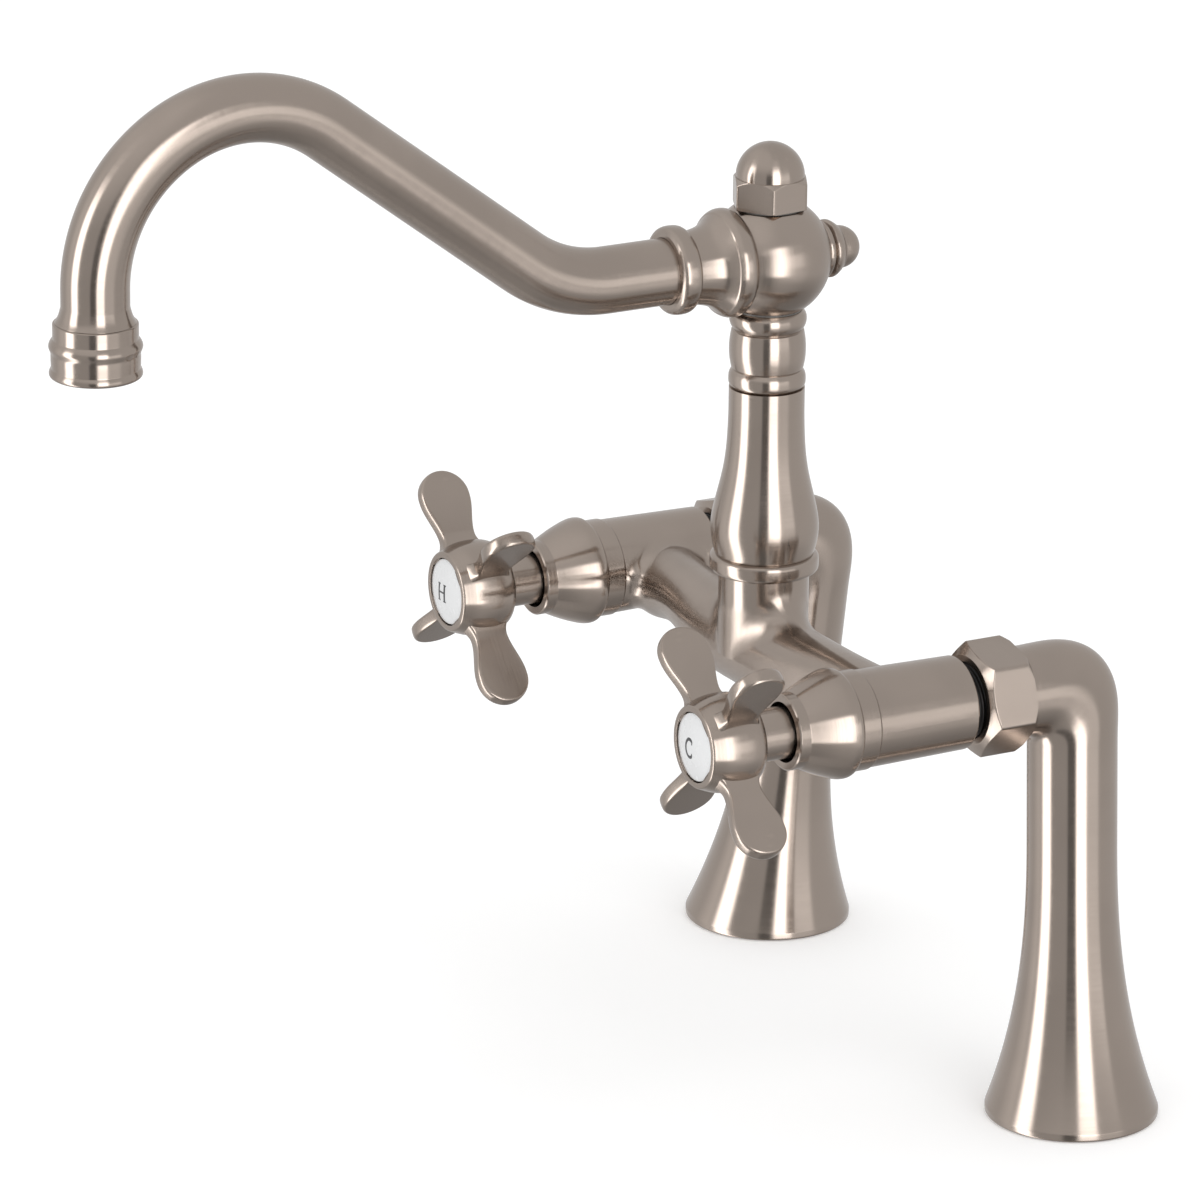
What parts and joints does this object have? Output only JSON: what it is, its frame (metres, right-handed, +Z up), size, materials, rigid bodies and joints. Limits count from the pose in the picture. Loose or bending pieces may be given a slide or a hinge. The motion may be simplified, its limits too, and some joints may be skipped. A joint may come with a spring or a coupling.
{
  "type": "clawfoot tub faucet",
  "caption": "Deck-standing tub filler: flared risers, bridge body with cross handles, turned post and a long swan-neck spout that swivels.",
  "frame": {"origin": "on the deck, midway between the two inlets", "axes": "+Z up, -Y towards the user and the tub, along the spout; +X to the cold side"},
  "size_m": [0.2276, 0.3007, 0.3105],
  "materials": {
    "nickel": "brushed nickel plate",
    "raw_brass": "machined",
    "dark_thread": "blackened",
    "screw_steel": "machined",
    "porcelain": "glazed",
    "valve_ceramic": "lapped",
    "rubber": "moulded",
    "slip_washer": "smooth",
    "aerator_plastic": "moulded"
  },
  "bodies": {
    "deck_body": {"bridge_body": "nickel", "post_base_ring": "nickel", "post_column": "nickel", "post_neck": "nickel", "post_seals": "rubber", "swivel_spindle": "raw_brass", "spindle_seals": "rubber", "lower_swivel_washer": "slip_washer", "upper_swivel_washer": "slip_washer", "cap_nut": "nickel", "hot_riser": "nickel", "hot_inlet_bush": "raw_brass", "hot_union_nut": "nickel", "hot_union_washer": "rubber", "hot_union_tail": "dark_thread", "hot_bonnet": "nickel", "hot_seat_seal": "rubber", "hot_fixed_disc": "valve_ceramic", "hot_cartridge_body": "raw_brass", "hot_cartridge_seal": "rubber", "cold_riser": "nickel", "cold_inlet_bush": "raw_brass", "cold_union_nut": "nickel", "cold_union_washer": "rubber", "cold_union_tail": "dark_thread", "cold_bonnet": "nickel", "cold_seat_seal": "rubber", "cold_fixed_disc": "valve_ceramic", "cold_cartridge_body": "raw_brass", "cold_cartridge_seal": "rubber"},
    "spout": {"ball_hub": "nickel", "rear_finial": "nickel", "spout_bell": "nickel", "spout_tube": "nickel", "aerator_housing": "nickel", "aerator_washer": "rubber", "aerator_insert": "aerator_plastic"},
    "hot_handle_set": {"hot_handle": "nickel", "hot_index_button": "porcelain", "hot_handle_screw": "screw_steel", "hot_stem": "raw_brass", "hot_stem_seal": "rubber", "hot_moving_disc": "valve_ceramic"},
    "cold_handle_set": {"cold_handle": "nickel", "cold_index_button": "porcelain", "cold_handle_screw": "screw_steel", "cold_stem": "raw_brass", "cold_stem_seal": "rubber", "cold_moving_disc": "valve_ceramic"}
  },
  "joints": [
    {"name": "spout_swivel", "type": "hinge", "parent": "deck_body", "child": "spout", "pos_m": [0, -0.0535, 0.2377], "axis": [0, 0, 1], "continuous": true},
    {"name": "hot_handle_turn", "type": "hinge", "parent": "deck_body", "child": "hot_handle_set", "pos_m": [-0.075, -0.1084, 0.1245], "axis": [0, -1, 0], "range_deg": [0, 90]},
    {"name": "cold_handle_turn", "type": "hinge", "parent": "deck_body", "child": "cold_handle_set", "pos_m": [0.075, -0.1084, 0.1245], "axis": [0, 1, 0], "range_deg": [0, 90]}
  ]
}
